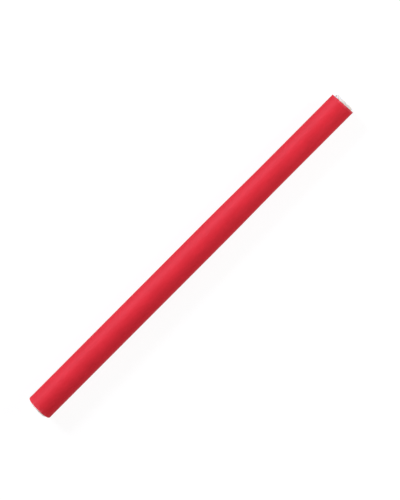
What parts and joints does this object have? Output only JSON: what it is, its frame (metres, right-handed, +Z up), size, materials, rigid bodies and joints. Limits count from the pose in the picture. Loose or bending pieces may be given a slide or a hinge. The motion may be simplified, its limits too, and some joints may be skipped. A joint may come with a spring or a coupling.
{
  "type": "crayon",
  "caption": "Blunt round crayon for writing and drawing: an off-white wax stick, proud at both ends, held by friction in a thick matte red paper sleeve that it is pushed through as it wears.",
  "frame": {"origin": "on the surface that the crayon lies on, under the middle of its length", "axes": "+X along the crayon towards its writing end, +Z up from the surface that it lies on, +Y to the left of the writing direction"},
  "size_m": [0.1756, 0.0116, 0.0115],
  "materials": {
    "red_wrap": "matte coated",
    "tube_board": "raw wound board",
    "waxed_paper": "waxed, slightly glossy",
    "wax": "waxy satin"
  },
  "bodies": {
    "sleeve": {"red_wrap": "red_wrap", "board_tube": "tube_board", "slip_liner": "waxed_paper"},
    "core": {"wax_core": "wax"}
  },
  "joints": [
    {"name": "core_slide", "type": "slide", "parent": "sleeve", "child": "core", "axis": [1, 0, 0], "range_m": [0, 0.12]}
  ]
}
